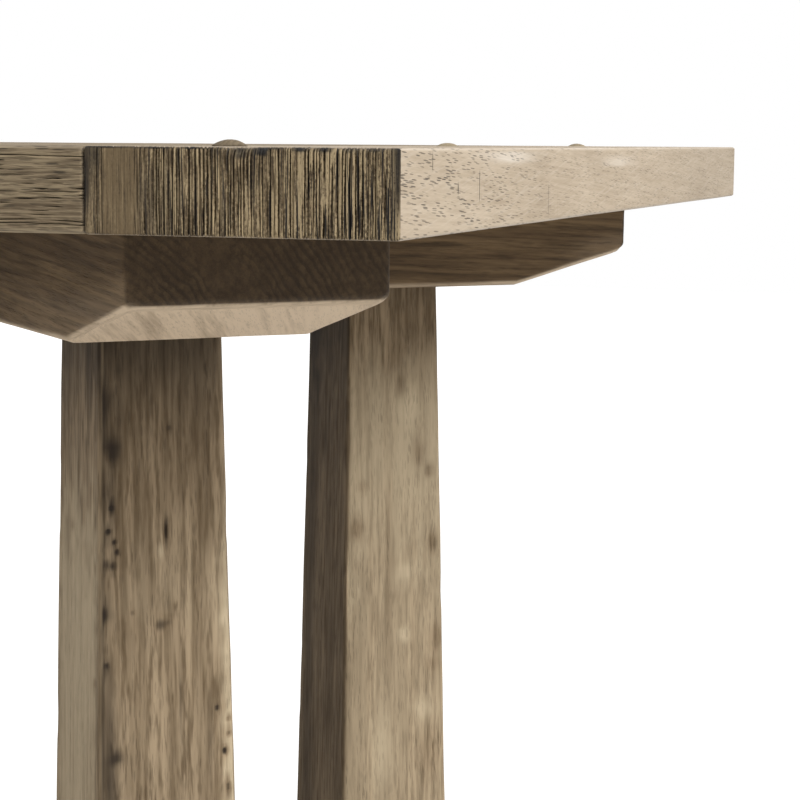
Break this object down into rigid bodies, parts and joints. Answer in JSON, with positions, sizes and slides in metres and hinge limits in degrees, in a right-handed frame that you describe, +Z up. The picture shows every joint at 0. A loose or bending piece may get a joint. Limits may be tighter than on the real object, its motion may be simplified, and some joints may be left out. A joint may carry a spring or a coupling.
{
  "type": "side table",
  "caption": "Square oak side table: boarded top between breadboard ends with domed pegs, on crossed diagonal bearers and tapered legs set square to them.",
  "frame": {"origin": "on the floor, under the centre of the table's bounding box", "axes": "+Z up; the front faces -Y; the breadboard ends are at -X and +X and the boards run along X"},
  "size_m": [0.61, 0.61, 0.5622],
  "materials": {
    "top_oak": "brushed and weathered, limed",
    "breadboard_oak": "brushed and weathered, limed",
    "bearer_oak": "sawn, brown stained",
    "leg_oak": "sawn and weathered",
    "peg_oak": "smooth, waxed",
    "inner_oak": "planed",
    "screw_steel": "zinc plated",
    "glide_nylon": "dark moulded nylon"
  },
  "bodies": {
    "root": {"top_board_1": "top_oak", "top_board_2": "top_oak", "top_board_3": "top_oak", "top_board_4": "top_oak", "top_board_5": "top_oak", "loose_tongue_1": "inner_oak", "loose_tongue_2": "inner_oak", "loose_tongue_3": "inner_oak", "loose_tongue_4": "inner_oak", "breadboard_left": "breadboard_oak", "breadboard_right": "breadboard_oak", "peg_front_left": "peg_oak", "peg_middle_left": "peg_oak", "peg_back_left": "peg_oak", "peg_front_right": "peg_oak", "peg_middle_right": "peg_oak", "peg_back_right": "peg_oak", "bearer_lower": "bearer_oak", "bearer_upper": "bearer_oak", "leg_front_left": "leg_oak", "leg_front_right": "leg_oak", "leg_back_left": "leg_oak", "leg_back_right": "leg_oak", "wedge_front_left": "inner_oak", "wedge_front_right": "inner_oak", "wedge_back_left": "inner_oak", "wedge_back_right": "inner_oak", "glide_front_left": "glide_nylon", "glide_front_right": "glide_nylon", "glide_back_left": "glide_nylon", "glide_back_right": "glide_nylon", "top_screws": "screw_steel", "top_washers": "screw_steel", "lap_screws": "screw_steel", "glide_screws": "screw_steel"}
  },
  "joints": []
}
